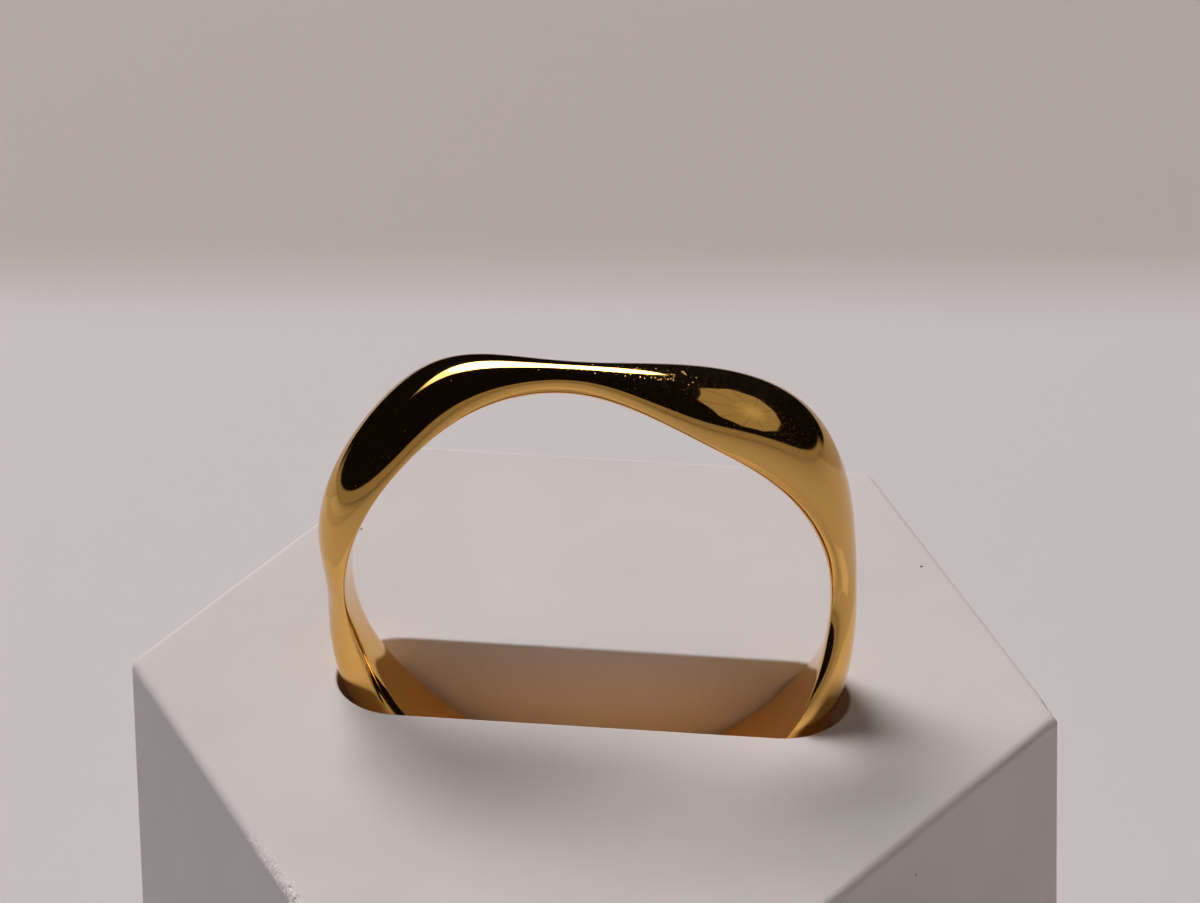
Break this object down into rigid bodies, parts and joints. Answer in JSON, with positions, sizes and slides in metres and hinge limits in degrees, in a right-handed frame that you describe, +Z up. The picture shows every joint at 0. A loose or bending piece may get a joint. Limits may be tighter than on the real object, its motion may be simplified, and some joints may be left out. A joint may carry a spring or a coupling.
{
  "type": "wave ring on hexagonal display block",
  "caption": "Polished wave ring, its band swelling and narrowing in soft lobes, standing upright in the slot of a plain hexagonal display block.",
  "frame": {"origin": "centre of the display block's base", "axes": "+Z up, +X along the block's slot to the ring's right-hand side as seen in the picture, and the finger hole runs along Y with -Y towards the viewer"},
  "size_m": [0.034, 0.0294, 0.0395],
  "materials": {
    "polished_gold": "polished",
    "cast_plaster": "matte"
  },
  "bodies": {
    "root": {"ring": "polished_gold", "display_block": "cast_plaster"}
  },
  "joints": []
}
